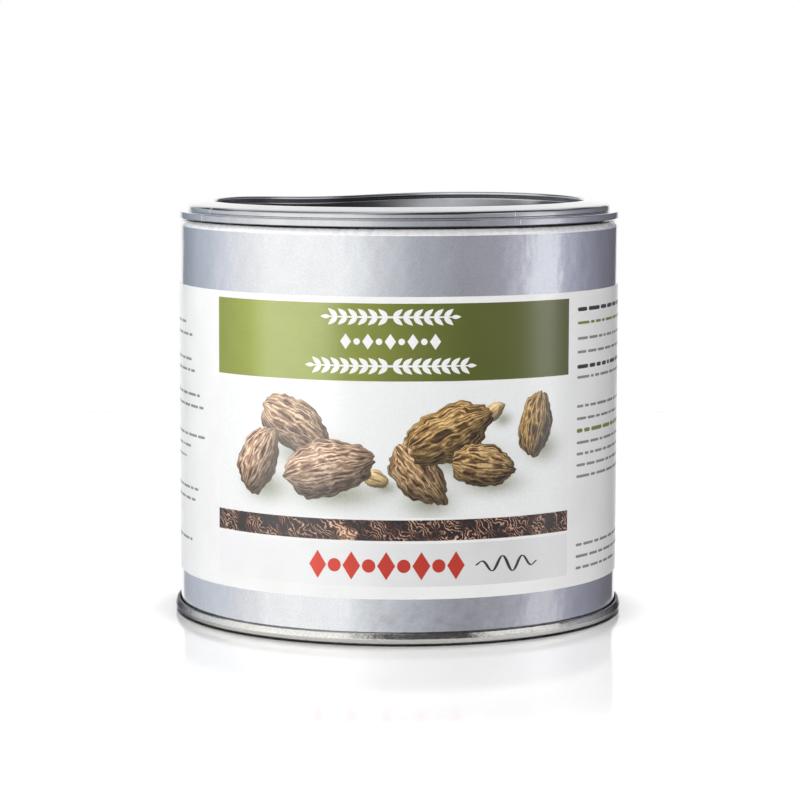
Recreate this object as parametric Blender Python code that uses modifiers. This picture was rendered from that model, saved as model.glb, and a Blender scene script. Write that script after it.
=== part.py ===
"""Round composite food can: paperboard tube, tinplate base end, press-in plastic lid and paper label.

Metres, +Z up. The origin is the centre of the ring that the can stands on.
"""

import math

import bpy

# Overall sizes of the can.
BODY_RADIUS = 0.0600
WALL = 0.0013
RIM_TOP = 0.1078
FIT_GAP = 0.0003
STEPS = 72

# Rolled-in edge at the top of the tube.
CURL_RADIUS = 0.0018
CURL_STEPS = 5

# Paper label and the shallow relief of the tube that it lies in.
LABEL_BOTTOM = 0.0121
LABEL_TOP = 0.0904
LABEL_THICKNESS = 0.00035
LABEL_PROUD = 0.0001

# Tinplate base end with its double seam.
SEAM_RADIUS = 0.06145
SEAM_HEIGHT = 0.0034
SEAM_FLOOR = 0.00045
PLATE = 0.0003
CHUCK_RADIUS = BODY_RADIUS - WALL - FIT_GAP
COUNTERSINK = 0.0053
PANEL_HEIGHT = 0.0045
PANEL_RADIUS = 0.0555
BEAD_RADII = (0.0490, 0.0430)
BEAD_WIDTH = 0.0022
BEAD_RISE = 0.0007

# Press-in lid: flange on the rim, raised ring, recess and plug wall.
LID_GAP = 0.0005
FLANGE_RADIUS = 0.06025
FLANGE_THICKNESS = 0.0019
RING_RADIUS = 0.0578
RING_SIDE_TOP = 0.1121
RING_CREST = 0.1132
RECESS_RADIUS = 0.0507
RECESS_FLOOR = 0.1076
LID_WALL = 0.0010
PLUG_RADIUS = BODY_RADIUS - 2 * CURL_RADIUS - FIT_GAP
PLUG_BOTTOM = 0.1015

# The raised ring has settled out of true: a dent at the back left, low on the left side.
DENT_DEPTH = 0.00105
DENT_AZIMUTH = math.radians(26)
DENT_WIDTH = math.radians(26)
BULGE_HEIGHT = 0.00025
BULGE_AZIMUTH = math.radians(-40)
BULGE_WIDTH = math.radians(30)
RING_LEAN = 0.00015
LID_TILT = 0.00015

# Materials: colour, roughness and metallic value.
SILVER_BOARD = ("silver_board", (0.62, 0.63, 0.67), 0.35, 0.8)
TINPLATE = ("tinplate", (0.66, 0.65, 0.62), 0.22, 1.0)
LID_PLASTIC = ("lid_plastic", (0.52, 0.53, 0.56), 0.30, 0.3)
LABEL_PAPER = ("label_paper", (0.92, 0.92, 0.90), 0.45, 0.0)


def clear_scene():
    for obj in list(bpy.data.objects):
        bpy.data.objects.remove(obj, do_unlink=True)


def new_material(name, colour, roughness, metallic):
    material = bpy.data.materials.new(name)
    material.use_nodes = True
    shader = material.node_tree.nodes["Principled BSDF"]
    shader.inputs["Base Color"].default_value = (*colour, 1.0)
    shader.inputs["Roughness"].default_value = roughness
    shader.inputs["Metallic"].default_value = metallic
    return material


def arc(centre, radius, start, end, steps):
    """Points of an arc in the (radius, height) plane, both ends included, angles in degrees."""
    points = []
    for step in range(steps + 1):
        angle = math.radians(start + (end - start) * step / steps)
        points.append((centre[0] + radius * math.cos(angle), centre[1] + radius * math.sin(angle)))
    return points


def turned(name, profile, collection, material, closed=True, weights=None):
    """An object whose outline, clockwise in the XZ plane, is turned about the Z axis."""
    mesh = bpy.data.meshes.new(name)
    count = len(profile)
    edges = [(index, index + 1) for index in range(count - 1)]
    if closed:
        edges.append((count - 1, 0))
    mesh.from_pydata([(radius, 0.0, height) for radius, height in profile], edges, [])
    mesh.materials.append(material)
    obj = bpy.data.objects.new(name, mesh)
    collection.objects.link(obj)
    if weights:
        group = obj.vertex_groups.new(name="sag")
        for index, weight in enumerate(weights):
            group.add([index], weight, "REPLACE")
    screw = obj.modifiers.new("turn", "SCREW")
    screw.steps = STEPS
    screw.render_steps = STEPS
    screw.use_merge_vertices = True
    screw.merge_threshold = 0.00001
    screw.use_smooth_shade = True
    return obj


def apply_turning(obj):
    """Turns the evaluated shape into the object's own mesh, shaded smooth with sharp corners."""
    depsgraph = bpy.context.evaluated_depsgraph_get()
    mesh = bpy.data.meshes.new_from_object(obj.evaluated_get(depsgraph), depsgraph=depsgraph)
    obj.modifiers.clear()
    obj.data = mesh
    mesh.name = obj.name
    mesh.shade_smooth()
    mesh.set_sharp_from_angle(angle=math.radians(35))


def tube_profile():
    """Paperboard wall with the rolled-in top edge and the relief under the label."""
    relief = BODY_RADIUS + LABEL_PROUD - LABEL_THICKNESS - FIT_GAP
    inner = BODY_RADIUS - WALL
    curl_centre = (BODY_RADIUS - CURL_RADIUS, RIM_TOP - CURL_RADIUS)
    foot = SEAM_FLOOR + FIT_GAP
    outside = arc(curl_centre, CURL_RADIUS, 90, 0, CURL_STEPS)
    outside += [
        (BODY_RADIUS, LABEL_TOP + FIT_GAP),
        (relief, LABEL_TOP + FIT_GAP),
        (relief, LABEL_BOTTOM - FIT_GAP),
        (BODY_RADIUS, LABEL_BOTTOM - FIT_GAP),
        (BODY_RADIUS, foot),
        (inner, foot),
        (inner, curl_centre[1] - 1.6 * CURL_RADIUS),
    ]
    inside = arc(curl_centre, CURL_RADIUS, 215, 108, CURL_STEPS)
    return outside + inside


def label_profile():
    """Thin paper sleeve round the tube."""
    outer = BODY_RADIUS + LABEL_PROUD
    inner = outer - LABEL_THICKNESS
    return [(outer, LABEL_TOP), (outer, LABEL_BOTTOM), (inner, LABEL_BOTTOM), (inner, LABEL_TOP)]


def base_face(offset):
    """One face of the stamped base plate, from the axis to the countersink, raised by offset."""
    points = [(0.0, PANEL_HEIGHT + offset)]
    for centre in sorted(BEAD_RADII):
        points += [
            (centre - BEAD_WIDTH / 2, PANEL_HEIGHT + offset),
            (centre - BEAD_WIDTH / 5, PANEL_HEIGHT + BEAD_RISE + offset),
            (centre + BEAD_WIDTH / 5, PANEL_HEIGHT + BEAD_RISE + offset),
            (centre + BEAD_WIDTH / 2, PANEL_HEIGHT + offset),
        ]
    points += [
        (PANEL_RADIUS - PLATE, PANEL_HEIGHT + offset),
        (PANEL_RADIUS + PLATE, COUNTERSINK - PLATE + offset),
        (PANEL_RADIUS + 3 * PLATE, COUNTERSINK + offset),
    ]
    return points


def base_profile():
    """Base end: stamped panel, countersink wall and the seam that wraps the foot of the tube."""
    chuck_inner = CHUCK_RADIUS - PLATE
    seam_inner = BODY_RADIUS + FIT_GAP
    corner = 0.0002
    top = base_face(PLATE)
    channel = [
        (CHUCK_RADIUS - 2 * PLATE, COUNTERSINK + PLATE),
        (CHUCK_RADIUS, COUNTERSINK - PLATE),
        (CHUCK_RADIUS, SEAM_FLOOR + corner),
        (CHUCK_RADIUS + corner, SEAM_FLOOR),
        (seam_inner - corner, SEAM_FLOOR),
        (seam_inner, SEAM_FLOOR + corner),
        (seam_inner, SEAM_HEIGHT - corner),
        (seam_inner + corner, SEAM_HEIGHT),
    ]
    shoulder = 0.0006
    roll = 0.0013
    outside = arc((SEAM_RADIUS - shoulder, SEAM_HEIGHT - shoulder), shoulder, 80, 0, 3)
    outside += arc((SEAM_RADIUS - roll, roll), roll, 0, -90, 4)
    stand_inner = chuck_inner + roll / 2
    underside = [
        (stand_inner, 0.0),
        (chuck_inner + corner, corner),
        (chuck_inner, 3 * corner),
        (chuck_inner, COUNTERSINK - 2 * PLATE),
        (chuck_inner - 1.5 * PLATE, COUNTERSINK),
    ]
    return top + channel + outside + underside + base_face(0.0)[::-1]


def lid_profile():
    """Lid outline and, for each point, how far it follows the settling of the raised ring."""
    flange_bottom = RIM_TOP + LID_GAP
    flange_top = flange_bottom + FLANGE_THICKNESS
    under_crest = RING_CREST - LID_WALL
    under_side = RING_SIDE_TOP - LID_WALL
    plug_inner = PLUG_RADIUS - LID_WALL
    panel_bottom = RECESS_FLOOR - LID_WALL
    recess_back = RECESS_RADIUS + LID_WALL
    fillet = 0.0003
    shape = [
        (0.0, RECESS_FLOOR, 0.0),
        (RECESS_RADIUS - 4 * fillet, RECESS_FLOOR, 0.0),
        (RECESS_RADIUS - fillet, RECESS_FLOOR + fillet, 0.0),
        (RECESS_RADIUS, RECESS_FLOOR + 4 * fillet, 0.1),
        (RECESS_RADIUS, RING_CREST - 2 * fillet, 1.0),
        (RECESS_RADIUS + fillet, RING_CREST - fillet / 2, 1.0),
        (RECESS_RADIUS + 4 * fillet, RING_CREST, 1.0),
        (RECESS_RADIUS + 0.0040, RING_CREST - fillet, 1.0),
        (RING_RADIUS - 0.0010, RING_SIDE_TOP + fillet / 2, 1.0),
        (RING_RADIUS - fillet, RING_SIDE_TOP - fillet / 2, 1.0),
        (RING_RADIUS, RING_SIDE_TOP - 2 * fillet, 1.0),
        (RING_RADIUS, flange_top + fillet, 0.0),
        (RING_RADIUS + fillet, flange_top, 0.0),
        (FLANGE_RADIUS - fillet, flange_top, 0.0),
        (FLANGE_RADIUS, flange_top - fillet, 0.0),
        (FLANGE_RADIUS, flange_bottom + fillet, 0.0),
        (FLANGE_RADIUS - fillet, flange_bottom, 0.0),
        (PLUG_RADIUS, flange_bottom, 0.0),
        (PLUG_RADIUS, PLUG_BOTTOM + 6 * fillet, 0.0),
        (PLUG_RADIUS - fillet, PLUG_BOTTOM, 0.0),
        (plug_inner - fillet, PLUG_BOTTOM, 0.0),
        (plug_inner, flange_bottom, 0.0),
        (plug_inner, under_side - fillet, 1.0),
        (plug_inner - 2 * fillet, under_side + fillet, 1.0),
        (recess_back + 2 * fillet, under_crest, 1.0),
        (recess_back, under_crest - 2 * fillet, 1.0),
        (recess_back, RECESS_FLOOR + 2 * fillet, 0.0),
        (recess_back - fillet, panel_bottom + fillet, 0.0),
        (recess_back - 3 * fillet, panel_bottom, 0.0),
        (0.0, panel_bottom, 0.0),
    ]
    outline = [(radius, height) for radius, height, _ in shape]
    weights = [weight for _, _, weight in shape]
    return outline, weights


def bell(angle, centre, width):
    """A smooth hump, 1 at the centre, for an angle in radians that wraps round."""
    away = math.remainder(angle - centre, 2 * math.pi)
    return math.exp(-((away / width) ** 2))


def ring_settling(x, y):
    """Height change of the raised ring. The angle is 0 at the back and grows towards the left."""
    angle = math.atan2(-x, y)
    change = BULGE_HEIGHT * bell(angle, BULGE_AZIMUTH, BULGE_WIDTH)
    change -= DENT_DEPTH * bell(angle, DENT_AZIMUTH, DENT_WIDTH)
    return change - RING_LEAN * (1 + math.sin(angle))


def settle_lid(obj):
    """Moves the lid's points: the ring follows its settling, and the whole lid tilts to the left."""
    group = obj.vertex_groups["sag"].index
    for vertex in obj.data.vertices:
        x, y, z = vertex.co
        weight = sum(entry.weight for entry in vertex.groups if entry.group == group)
        z += weight * ring_settling(x, y)
        z += LID_TILT * (x / FLANGE_RADIUS - 1)
        vertex.co.z = z


def build():
    clear_scene()
    collection = bpy.data.collections.new("food_can")
    bpy.context.scene.collection.children.link(collection)

    tube = turned("can_tube", tube_profile(), collection, new_material(*SILVER_BOARD))
    apply_turning(tube)

    label = turned("label", label_profile(), collection, new_material(*LABEL_PAPER))
    apply_turning(label)

    base = turned("base_end", base_profile(), collection, new_material(*TINPLATE), closed=False)
    apply_turning(base)

    outline, weights = lid_profile()
    lid = turned("lid", outline, collection, new_material(*LID_PLASTIC), closed=False, weights=weights)
    apply_turning(lid)
    settle_lid(lid)


build()
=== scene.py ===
"""Looks of a squat round food can: silver board tube, tin base, press-in plastic lid and printed label.

Metres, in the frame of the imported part. The front of the label faces -Y.
"""

import math
import random

import bpy
import numpy as np
from mathutils import Matrix, Vector


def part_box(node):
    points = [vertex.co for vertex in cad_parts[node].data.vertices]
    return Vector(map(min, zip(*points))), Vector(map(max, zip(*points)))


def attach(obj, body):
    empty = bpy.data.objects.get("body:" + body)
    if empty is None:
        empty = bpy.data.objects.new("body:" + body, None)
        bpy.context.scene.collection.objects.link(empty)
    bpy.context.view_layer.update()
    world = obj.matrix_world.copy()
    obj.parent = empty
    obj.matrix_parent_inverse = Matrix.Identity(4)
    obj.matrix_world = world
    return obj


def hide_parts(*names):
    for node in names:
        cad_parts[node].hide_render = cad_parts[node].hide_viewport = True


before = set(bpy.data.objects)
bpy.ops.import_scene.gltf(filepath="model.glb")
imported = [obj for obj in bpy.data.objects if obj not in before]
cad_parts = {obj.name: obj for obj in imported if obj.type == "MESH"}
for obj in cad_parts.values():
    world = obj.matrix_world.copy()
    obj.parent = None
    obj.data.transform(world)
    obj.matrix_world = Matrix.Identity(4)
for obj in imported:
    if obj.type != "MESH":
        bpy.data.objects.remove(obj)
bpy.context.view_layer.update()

MM = 0.001

# Places read from the part.
TUBE_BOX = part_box("can_tube")
LABEL_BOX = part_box("label")
BASE_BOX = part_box("base_end")
LID_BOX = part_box("lid")
BODY_RADIUS = TUBE_BOX[1].x
RIM_TOP = TUBE_BOX[1].z
TUBE_FOOT = TUBE_BOX[0].z
LABEL_RADIUS = LABEL_BOX[1].x
LABEL_BOTTOM = LABEL_BOX[0].z
LABEL_TOP = LABEL_BOX[1].z
SEAM_RADIUS = BASE_BOX[1].x
COUNTERSINK_TOP = BASE_BOX[1].z
PLUG_BOTTOM = LID_BOX[0].z
FLANGE_RADIUS = LID_BOX[1].x

# Sizes shared with the part's source.
WALL = 1.3 * MM
ROLLED_EDGE = 105.9 * MM
CURL_RADIUS = 1.8 * MM
SEAM_HEIGHT = 3.4 * MM
SEAM_FLOOR = 0.45 * MM
PLATE = 0.3 * MM
COUNTERSINK = COUNTERSINK_TOP - PLATE
PANEL_HEIGHT = 4.5 * MM
PANEL_RADIUS = 55.5 * MM
BEAD_RADII = (49.0 * MM, 43.0 * MM)
BEAD_WIDTH = 2.2 * MM
BEAD_RISE = 0.7 * MM
FIT_GAP = 0.3 * MM
FLANGE_BOTTOM = RIM_TOP + 0.5 * MM
FLANGE_TOP = FLANGE_BOTTOM + 1.9 * MM
RING_RADIUS = 57.8 * MM
RING_SIDE_TOP = 112.1 * MM
RING_CREST = 113.2 * MM
RECESS_RADIUS = 50.7 * MM
RECESS_FLOOR = 107.6 * MM
LID_WALL = 1.0 * MM
PLUG_RADIUS = BODY_RADIUS - 2 * CURL_RADIUS - FIT_GAP

# The ring's settling, as in the part: a dent at the back left, low on the left side.
DENT_DEPTH = 1.05 * MM
DENT_AZIMUTH = math.radians(26)
DENT_WIDTH = math.radians(26)
BULGE_HEIGHT = 0.25 * MM
BULGE_AZIMUTH = math.radians(-40)
BULGE_WIDTH = math.radians(30)
RING_LEAN = 0.15 * MM
LID_TILT = 0.15 * MM

# Printed areas of the label: arc lengths from the front, to the right, and heights.
PANEL_LEFT = -54.4 * MM
PANEL_RIGHT = 50.3 * MM
BAND_TOP = 88.7 * MM
BAND_BOTTOM = 68.7 * MM
STRIP_TOP = 32.75 * MM
STRIP_BOTTOM = 27.35 * MM
FOOT_TOP = 26.6 * MM
FOOT_BOTTOM = 15.4 * MM
PRINT_CENTRE = -2.1 * MM
INK = 0.015 * MM

# Every random draw starts from this number.
SEED = 11


def bell(angle, centre, width):
    """A smooth hump, 1 at the centre, for an angle in radians that wraps round."""
    away = math.remainder(angle - centre, math.tau)
    return math.exp(-((away / width) ** 2))


def smooth_step(value, low, high):
    """0 below low, 1 above high, and a smooth rise between."""
    share = min(1.0, max(0.0, (value - low) / (high - low)))
    return share * share * (3 - 2 * share)


def at(radius, angle, height):
    """A place round the can's axis. Angle 0 faces -Y, and grows to the right."""
    return (radius * math.sin(angle), -radius * math.cos(angle), height)


# Meshes

def mesh_object(name, vertices, faces, material, sharp=35):
    mesh = bpy.data.meshes.new(name)
    mesh.from_pydata(vertices, [], faces)
    mesh.update()
    mesh.materials.append(material)
    mesh.shade_smooth()
    mesh.set_sharp_from_angle(angle=math.radians(sharp))
    obj = bpy.data.objects.new(name, mesh)
    bpy.context.scene.collection.objects.link(obj)
    return obj


def rounded(corners, steps=4):
    """Rounds the corners of an outline. Each corner is (radius, height, distance cut back)."""
    points = []
    count = len(corners)
    for index, (x, y, cut) in enumerate(corners):
        if not cut:
            points.append((x, y))
            continue
        here = Vector((x, y))
        before = Vector(corners[index - 1][:2]) - here
        after = Vector(corners[(index + 1) % count][:2]) - here
        start = here + before.normalized() * min(cut, before.length * 0.49)
        end = here + after.normalized() * min(cut, after.length * 0.49)
        for step in range(steps + 1):
            t = step / steps
            point = start * (1 - t) ** 2 + here * 2 * t * (1 - t) + end * t ** 2
            points.append((point.x, point.y))
    return points


def even_angles(count):
    return [math.tau * index / count for index in range(count)]


def turned(name, outline, material, angles, shape=None, closed=True):
    """Turns an outline, clockwise in the (radius, height) plane, about Z.
    shape(radius, height, angle) may move a point in that plane."""
    vertices, columns = [], []
    poles = {}
    for angle in angles:
        column = []
        for index, (radius, height) in enumerate(outline):
            if radius == 0.0:
                if index not in poles:
                    poles[index] = len(vertices)
                    vertices.append((0.0, 0.0, shape(0.0, height, 0.0)[1] if shape else height))
                column.append(poles[index])
                continue
            if shape:
                radius, height = shape(radius, height, angle)
            column.append(len(vertices))
            vertices.append(at(radius, angle, height))
        columns.append(column)
    faces = []
    rows = len(outline) if closed else len(outline) - 1
    for index, column in enumerate(columns):
        following = columns[(index + 1) % len(columns)]
        for row in range(rows):
            lower = (row + 1) % len(outline)
            corners = [column[row], column[lower], following[lower], following[row]]
            unique = list(dict.fromkeys(corners))
            if len(unique) > 2:
                faces.append(unique)
    return mesh_object(name, vertices, faces, material)


def on_label(s, z, lift):
    """The point at arc length s and height z, a little off the label's face."""
    return at(LABEL_RADIUS + lift, s / LABEL_RADIUS, z)


class Print:
    """Thin printed shapes on the label, gathered into one mesh of closed shells."""

    def __init__(self, layer):
        self.low = INK * layer
        self.high = self.low + INK * 0.8
        self.vertices = []
        self.faces = []

    def shell(self, flat, front):
        """Adds a shell from flat points and the faces over them, seen anticlockwise."""
        start = len(self.vertices)
        count = len(flat)
        self.vertices += [on_label(s, z, self.high) for s, z in flat]
        self.vertices += [on_label(s, z, self.low) for s, z in flat]
        edges = set()
        for face in front:
            self.faces.append([start + index for index in face])
            self.faces.append([start + count + index for index in reversed(face)])
            edges.update(zip(face, face[1:] + face[:1]))
        for first, second in sorted(edges):
            if (second, first) not in edges:
                high = [start + second, start + first]
                low = [start + count + first, start + count + second]
                self.faces.append(high + low)

    def blob(self, outline):
        """A small filled outline, given anticlockwise, as a fan about its middle."""
        count = len(outline)
        middle = (sum(p[0] for p in outline) / count, sum(p[1] for p in outline) / count)
        fan = [[index, (index + 1) % count, count] for index in range(count)]
        self.shell(list(outline) + [middle], fan)

    def ribbon(self, line, widths):
        """A band of changing width along a line."""
        flat = []
        for index, (s, z) in enumerate(line):
            before = line[max(0, index - 1)]
            after = line[min(len(line) - 1, index + 1)]
            along = Vector((after[0] - before[0], after[1] - before[1])).normalized()
            side = Vector((-along.y, along.x)) * widths[index] / 2
            flat += [(s + side.x, z + side.y), (s - side.x, z - side.y)]
        front = [[2 * i, 2 * i + 1, 2 * i + 3, 2 * i + 2] for i in range(len(line) - 1)]
        self.shell(flat, front)

    def bar(self, left, right, z, height):
        """A level bar with rounded ends."""
        steps = max(2, math.ceil((right - left) / (1.5 * MM)))
        inner = height / 2
        line = [(left, z), (left + 0.3 * inner, z)]
        line += [(left + inner + (right - left - height) * i / steps, z) for i in range(steps + 1)]
        line += [(right - 0.3 * inner, z), (right, z)]
        widths = [0.2 * height, 0.75 * height] + [height] * (steps + 1) + [0.75 * height, 0.2 * height]
        self.ribbon(line, widths)

    def build(self, name, material):
        return mesh_object(name, self.vertices, self.faces, material)


def panel(name, left, right, bottom, top, layer, material, cell=1.5 * MM):
    """A printed rectangle on the label, as a thin closed sheet with a fine grid."""
    columns = math.ceil((right - left) / cell)
    rows = math.ceil((top - bottom) / cell)
    flat = []
    for row in range(rows + 1):
        for column in range(columns + 1):
            flat.append((left + (right - left) * column / columns, bottom + (top - bottom) * row / rows))
    front = []
    for row in range(rows):
        for column in range(columns):
            first = row * (columns + 1) + column
            front.append([first, first + 1, first + columns + 2, first + columns + 1])
    sheet = Print(layer)
    sheet.shell(flat, front)
    obj = sheet.build(name, material)
    return obj, flat + flat


def store(obj, name, kind, values):
    """Stores a value for each vertex, for the material to read."""
    attribute = obj.data.attributes.new(name, kind, "POINT")
    field = "vector" if kind == "FLOAT_VECTOR" else "value"
    attribute.data.foreach_set(field, np.array(values, np.float32).ravel())


# Materials

class Nodes:
    """Short calls for the nodes of one tree."""

    def __init__(self, tree):
        self.tree = tree

    def node(self, kind, links=None, **fields):
        made = self.tree.nodes.new("ShaderNode" + kind)
        for key, value in fields.items():
            setattr(made, key, value)
        for key, value in (links or {}).items():
            self.put(made.inputs[key], value)
        return made

    def put(self, socket, value):
        if isinstance(value, bpy.types.NodeSocket):
            self.tree.links.new(value, socket)
        else:
            socket.default_value = value

    def place(self, stretch=(1, 1, 1)):
        """Object coordinates in metres, stretched."""
        spot = self.node("TexCoord").outputs["Object"]
        return self.node("Mapping", {"Vector": spot, "Scale": stretch}).outputs["Vector"]

    def noise(self, vector, scale, detail=3.0, roughness=0.5, distortion=0.0):
        inputs = {"Vector": vector, "Scale": scale, "Detail": detail}
        inputs.update({"Roughness": roughness, "Distortion": distortion})
        return self.node("TexNoise", inputs).outputs["Fac"]

    def ramp(self, factor, stops):
        made = self.node("ValToRGB", {"Fac": factor})
        elements = made.color_ramp.elements
        while len(elements) < len(stops):
            elements.new(0.5)
        for element, (position, colour) in zip(elements, stops):
            element.position = position
            element.color = (*colour, 1.0)
        return made.outputs["Color"]

    def remap(self, value, start, end, low=0.0, high=1.0, **fields):
        """Maps start to end onto low to high, and holds the ends past them."""
        links = {"Value": value, "From Min": start, "From Max": end, "To Min": low, "To Max": high}
        return self.node("MapRange", links, **fields).outputs["Result"]

    def span(self, value, low, high):
        return self.remap(value, 0.0, 1.0, low, high)

    def along(self, vector, axis):
        return self.node("SeparateXYZ", {0: vector}).outputs[axis]

    def length(self, vector):
        return self.node("VectorMath", {0: vector}, operation="LENGTH").outputs["Value"]

    def stored(self, name, output="Fac"):
        """What store() left on the mesh under that name."""
        return self.node("Attribute", attribute_name=name).outputs[output]

    def warped(self, vector, scale, detail, amount):
        """A vector pushed about by noise."""
        bend = self.node("TexNoise", {"Vector": vector, "Scale": scale, "Detail": detail})
        links = {0: bend.outputs["Color"], "Scale": amount}
        push = self.node("VectorMath", links, operation="SCALE").outputs["Vector"]
        return self.node("VectorMath", {0: vector, 1: push}, operation="ADD").outputs["Vector"]

    def math(self, operation, first, second=0.0):
        made = self.node("Math", operation=operation)
        self.put(made.inputs[0], first)
        self.put(made.inputs[1], second)
        return made.outputs["Value"]

    def mix(self, factor, first, second, blend="MIX"):
        made = self.node("Mix", data_type="RGBA", blend_type=blend)
        self.put(made.inputs["Factor"], factor)
        self.put(made.inputs["A"], first)
        self.put(made.inputs["B"], second)
        return made.outputs["Result"]

    def bump(self, height, strength, distance, onto=None):
        links = {"Height": height, "Strength": strength, "Distance": distance}
        if onto is not None:
            links["Normal"] = onto
        return self.node("Bump", links).outputs["Normal"]


class Material(Nodes):
    """A node material with one Principled shader."""

    def __init__(self, name, **settings):
        self.material = bpy.data.materials.new(name)
        self.material.use_nodes = True
        super().__init__(self.material.node_tree)
        self.shader = self.tree.nodes["Principled BSDF"]
        for key, value in settings.items():
            self.shader.inputs[key.replace("_", " ")].default_value = value

    def finish(self, colour=None, roughness=None, normal=None):
        for key, value in (("Base Color", colour), ("Roughness", roughness), ("Normal", normal)):
            if value is not None:
                self.put(self.shader.inputs[key], value)
        return self.material


# The laminate ends on top of the rolled edge, where the liner begins.
LAMINATE_END = BODY_RADIUS - 0.9 * MM
LAMINATE_FADE = 0.3 * MM
LINER_BROWN = (0.11, 0.085, 0.06, 1.0)
ROLLED_FADE = 0.15 * MM


def silver_board():
    """Silver laminate on wound board, with soft waves, paler where the edge is rolled over, and the
    brown liner inside."""
    m = Material("silver_board", Coat_Weight=1.0, Coat_Roughness=0.05)
    spot = m.place()
    grain = m.noise(spot, 2400, 3.0, 0.6)
    waves = m.noise(m.place((1, 1, 0.8)), 68, 3.0, 0.55)
    clouds = m.noise(m.place((1, 1, 0.6)), 170, 3.0)
    dull = m.ramp(clouds, [(0.3, (0.56, 0.57, 0.605)), (0.7, (0.61, 0.62, 0.655))])
    speckle = m.ramp(grain, [(0.35, (0.50, 0.51, 0.54)), (0.65, (0.72, 0.73, 0.77))])
    film = m.mix(0.30, dull, speckle)
    rolled = m.remap(m.along(spot, "Z"), ROLLED_EDGE, ROLLED_EDGE + ROLLED_FADE)
    streaks = m.noise(m.place((1, 1, 0.1)), 900, 2.0)
    edge = m.ramp(streaks, [(0.35, (0.76, 0.76, 0.79)), (0.6, (0.84, 0.84, 0.86))])
    radius = m.length(m.place((1, 1, 0)))
    outside = m.remap(radius, LAMINATE_END - LAMINATE_FADE, LAMINATE_END)
    tone = m.mix(outside, LINER_BROWN, m.mix(rolled, film, edge))
    metal = m.math("MULTIPLY", m.span(rolled, 1.0, 0.15), outside)
    m.put(m.shader.inputs["Metallic"], metal)
    roughness = m.span(grain, 0.12, 0.20)
    normal = m.bump(waves, 0.5, 0.001)
    normal = m.bump(grain, 0.14, 0.00003, normal)
    return m.finish(tone, roughness, normal)


def tinplate():
    """Bright tinplate: a fine rolling grain along X, small waves from the seaming and light scuffs."""
    m = Material("tinplate", Metallic=1.0, Specular_Tint=(0.20, 0.20, 0.22, 1.0))
    rolled = m.noise(m.place((0.06, 1, 1)), 3600, 3.0)
    waves = m.noise(m.place((1, 1, 1.6)), 260, 3.0, 0.6)
    scuffs = m.noise(m.place((1, 0.25, 1)), 420, 4.0, 0.7)
    tone = m.ramp(rolled, [(0.3, (0.62, 0.61, 0.585)), (0.7, (0.76, 0.75, 0.72))])
    roughness = m.math("ADD", m.span(rolled, 0.03, 0.12), m.span(scuffs, -0.02, 0.07))
    normal = m.bump(waves, 0.3, 0.0006)
    normal = m.bump(rolled, 0.08, 0.00004, normal)
    normal = m.bump(scuffs, 0.05, 0.0002, normal)
    return m.finish(tone, roughness, normal)


# Painted shade where the lid's surface faces down, in the undercuts of the ring: the tone, and the
# heights of the surface's normal, -1 straight down, between which the painted shade fades out.
UNDERCUT_PAINTED_SHADE = (0.10, 0.10, 0.11, 1.0)
UNDERCUT_FADE = (-0.30, -0.08)


def lid_plastic():
    """Silver-grey plastic with a fine metal flake and faint flow marks, and painted shade where it faces
    down.
    """
    m = Material("lid_plastic", Metallic=1.0, Coat_Weight=0.8, Coat_Roughness=0.08)
    flake = m.node("TexVoronoi", {"Vector": m.place(), "Scale": 5200}).outputs["Distance"]
    flow = m.noise(m.place((1, 1, 0.5)), 120, 3.0, 0.6, 0.4)
    plain = m.ramp(flow, [(0.25, (0.46, 0.465, 0.49)), (0.75, (0.56, 0.565, 0.59))])
    glint = m.ramp(flake, [(0.2, (0.26, 0.26, 0.28)), (0.7, (0.62, 0.63, 0.66))])
    # Painted shade: the tone goes dark where the surface's normal points down.
    facing = m.along(m.node("TexCoord").outputs["Normal"], "Z")
    undercut_shade = m.remap(facing, *UNDERCUT_FADE, 1.0, 0.0)
    tone = m.mix(undercut_shade, m.mix(0.18, plain, glint), UNDERCUT_PAINTED_SHADE)
    roughness = m.span(flow, 0.12, 0.18)
    normal = m.bump(flow, 0.15, 0.0002)
    normal = m.bump(flake, 0.10, 0.00002, normal)
    return m.finish(tone, roughness, normal)


# The satin varnish over all print: the gloss is in the coat alone.
VARNISH = {"Specular_IOR_Level": 0.0, "Coat_Weight": 1.0, "Coat_Roughness": 0.27}

# Half the width of the label's front in millimetres, over which a tint's painted light and shade is
# given.
GRADE_REACH = 50


def coated_print(name, low, high, painted_shade=None):
    """Printed paper under a satin varnish: two close tones in a fine paper grain. Painted light and
    shade fades the tint from left to right, lightest where the key light falls on the left: pairs of a
    place along X in millimetres and a share of the tint."""
    m = Material(name, **VARNISH)
    fibre = m.noise(m.place(), 1900, 4.0, 0.6)
    clouds = m.noise(m.place(), 90, 2.0)
    blend = m.math("ADD", m.math("MULTIPLY", fibre, 0.5), m.math("MULTIPLY", clouds, 0.5))
    tone = m.ramp(blend, [(0.35, low), (0.65, high)])
    # Painted light and shade: the tint is darkened towards the right, away from the key light.
    if painted_shade:
        place = m.remap(m.along(m.place(), "X"), -GRADE_REACH * MM, GRADE_REACH * MM)
        stops = []
        for x, share in painted_shade:
            stops.append(((x + GRADE_REACH) / (2 * GRADE_REACH), (share, share, share)))
        tone = m.mix(1.0, tone, m.ramp(place, stops), "MULTIPLY")
    normal = m.bump(fibre, 0.10, 0.00003)
    return m.finish(tone, m.span(fibre, 0.37, 0.47), normal)


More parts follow.
